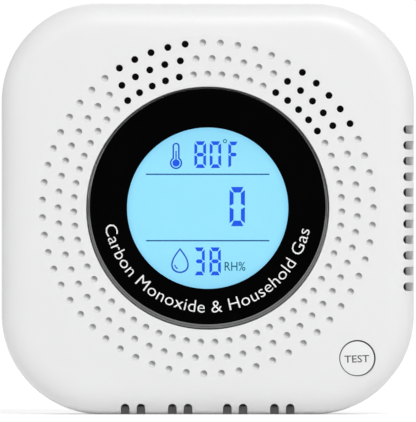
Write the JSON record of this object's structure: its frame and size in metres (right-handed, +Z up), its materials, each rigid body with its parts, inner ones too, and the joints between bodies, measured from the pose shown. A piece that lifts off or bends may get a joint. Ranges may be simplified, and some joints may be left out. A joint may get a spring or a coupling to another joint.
{
  "type": "carbon monoxide detector",
  "caption": "Square pillow-edged household gas alarm with perforated front, round black display window, test button, side vents, plug and battery door.",
  "frame": {"origin": "middle of the flat base that the detector stands on, halfway between the front plane and the wall side of the casing", "axes": "+Z up, -Y out of the display side, +Y towards the wall, +X to the right as seen from the front"},
  "size_m": [0.105, 0.0555, 0.105],
  "materials": {
    "white_case": "fine satin moulded ABS",
    "black_window": "polished black acrylic",
    "black_foam": "matt black mesh and foam",
    "display_glass": "lit blue display",
    "light_guide": "frosted light guide",
    "contact_rubber": "striped contact rubber",
    "circuit_board": "green solder mask",
    "black_plastic": "moulded black plastic",
    "plated_steel": "zinc plated",
    "nickel_brass": "nickel plated brass",
    "film_capacitor": "yellow moulded box",
    "fuse_ceramic": "glazed tube",
    "coated_ceramic": "blue dipped coating",
    "grey_ribbon": "grey insulated ribbon",
    "red_wire": "red insulation",
    "black_wire": "black insulation",
    "battery_shell": "satin wrapped steel",
    "label_film": "blank satin label"
  },
  "bodies": {
    "housing": {"front_cover": "white_case", "rear_cover": "white_case", "plug_block": "white_case", "lcd_frame": "white_case", "lens": "black_window", "lens_tape": "black_foam", "dust_screen_left": "black_foam", "dust_screen_right": "black_foam", "lcd_glass": "display_glass", "lcd_backlight": "light_guide", "zebra_strip_upper": "contact_rubber", "zebra_strip_lower": "contact_rubber", "main_board": "circuit_board", "power_board": "circuit_board", "micro_chip": "black_plastic", "humidity_sensor": "black_plastic", "sounder_case": "black_plastic", "sounder_disc": "nickel_brass", "switch_body": "black_plastic", "transformer": "black_plastic", "output_capacitor": "black_plastic", "battery_snap": "black_plastic", "gas_sensor": "plated_steel", "co_sensor": "plated_steel", "case_screw_1": "plated_steel", "case_screw_2": "plated_steel", "case_screw_3": "plated_steel", "case_screw_4": "plated_steel", "board_screw_1": "plated_steel", "board_screw_2": "plated_steel", "board_screw_3": "plated_steel", "board_screw_4": "plated_steel", "power_screw_1": "plated_steel", "power_screw_2": "plated_steel", "plug_blade_left": "nickel_brass", "plug_blade_right": "nickel_brass", "mains_capacitor": "film_capacitor", "fuse": "fuse_ceramic", "varistor": "coated_ceramic", "board_ribbon": "grey_ribbon", "battery_lead_red": "red_wire", "battery_lead_black": "black_wire", "battery": "battery_shell", "rating_label": "label_film"},
    "button": {"test_button": "white_case"},
    "plunger": {"switch_plunger": "black_plastic"},
    "door": {"battery_door": "white_case"}
  },
  "joints": [
    {"name": "test_press", "type": "slide", "parent": "housing", "child": "button", "axis": [0, 1, 0], "range_m": [0, 0.0006], "stiffness_N_per_m": 1500},
    {"name": "plunger_press", "type": "slide", "parent": "housing", "child": "plunger", "axis": [0, 1, 0], "range_m": [0, 0.0003]},
    {"name": "door_hinge", "type": "hinge", "parent": "housing", "child": "door", "pos_m": [0, 0.0168, 0.008], "axis": [-1, 0, 0], "range_deg": [0, 95]}
  ],
  "couplings": [
    {"joint": "plunger_press", "follows": "test_press", "ratio": 0.5}
  ]
}
